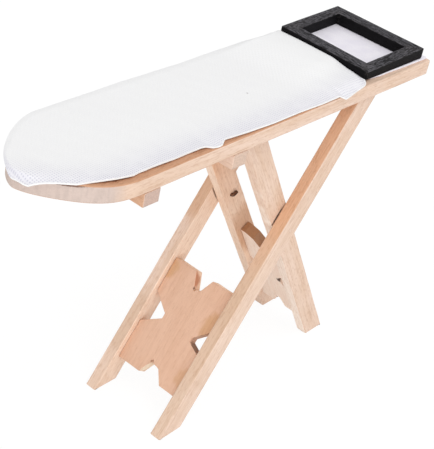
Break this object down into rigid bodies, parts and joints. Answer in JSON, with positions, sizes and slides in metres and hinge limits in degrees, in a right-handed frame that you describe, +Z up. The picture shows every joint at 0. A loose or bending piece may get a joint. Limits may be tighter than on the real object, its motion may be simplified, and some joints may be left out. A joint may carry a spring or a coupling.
{
  "type": "dollhouse ironing board",
  "caption": "Dollhouse ironing board with a cloth cover, a mitred rest frame at the heel and scissor legs that fold flat under the board.",
  "frame": {"origin": "middle of the object in x and y, on the floor under the feet", "axes": "+X along the board to the heel and its rest frame, -X to the pointed nose, +Z up, -Y is the near side"},
  "size_m": [0.1124, 0.0282, 0.0789],
  "materials": {
    "board_wood": "bare sanded pale beech, faint grain",
    "leg_wood": "bare sanded pale beech, slightly pink, orange in the shade",
    "panel_wood": "bare beech with dark sawn end grain in the notches",
    "cloth": "white plain-woven cotton, fine dotted weave",
    "underlay": "smooth white felt paper",
    "black_paint": "wood painted thin black, grain showing grey on top",
    "nail_steel": "dull, slightly rusted wire nail"
  },
  "bodies": {
    "board_body": {"board": "board_wood", "fabric_cover": "cloth", "paper_underlay": "underlay", "rest_rail_near": "black_paint", "rest_rail_heel": "black_paint", "rest_rail_far": "black_paint", "rest_rail_nose": "black_paint", "nose_batten": "leg_wood", "mid_block_near": "leg_wood", "mid_block_far": "leg_wood", "pivot_block": "leg_wood", "top_nail_near": "nail_steel", "top_nail_far": "nail_steel"},
    "outer_legs": {"outer_leg_near": "leg_wood", "outer_leg_far": "leg_wood", "outer_panel": "panel_wood", "cross_nail_near": "nail_steel", "cross_nail_far": "nail_steel"},
    "inner_legs": {"inner_leg_near": "leg_wood", "inner_leg_far": "leg_wood", "inner_panel": "panel_wood"}
  },
  "joints": [
    {"name": "outer_leg_fold", "type": "hinge", "parent": "board_body", "child": "outer_legs", "pos_m": [0.03315, 0, 0.0693], "axis": [0, 1, 0], "range_deg": [0, 49]},
    {"name": "inner_leg_fold", "type": "hinge", "parent": "outer_legs", "child": "inner_legs", "pos_m": [0.0169, 0, 0.04339], "axis": [0, 1, 0], "range_deg": [-98, 0]}
  ],
  "couplings": [
    {"joint": "inner_leg_fold", "follows": "outer_leg_fold", "ratio": -2}
  ]
}
